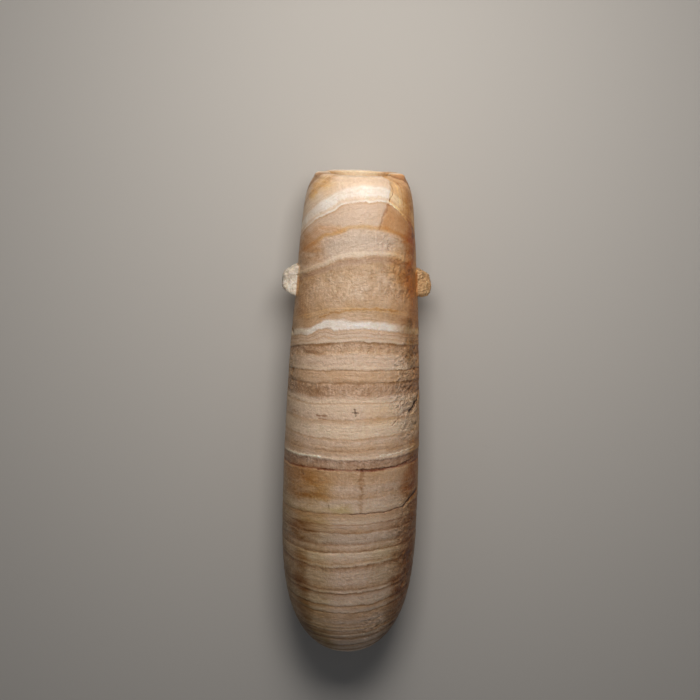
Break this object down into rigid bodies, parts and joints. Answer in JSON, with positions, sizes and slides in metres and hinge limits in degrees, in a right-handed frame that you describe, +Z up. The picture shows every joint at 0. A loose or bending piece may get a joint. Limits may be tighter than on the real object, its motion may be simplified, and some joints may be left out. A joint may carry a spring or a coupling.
{
  "type": "alabastron",
  "caption": "Slender round-based oil flask of banded calcite with a lug handle on each side, hollow, lying on its back on a small flat spot.",
  "frame": {"origin": "on the surface that the flask rests on, below the middle of its bounding box", "axes": "+Y along the flask's axis from the base towards the mouth, +Z up out of the face that lies uppermost, +X towards the right lug"},
  "size_m": [0.0609, 0.2, 0.0555],
  "materials": {
    "banded_calcite": "weathered matt to soft satin, natural cream and brown bands"
  },
  "bodies": {
    "root": {"alabastron": "banded_calcite"}
  },
  "joints": []
}
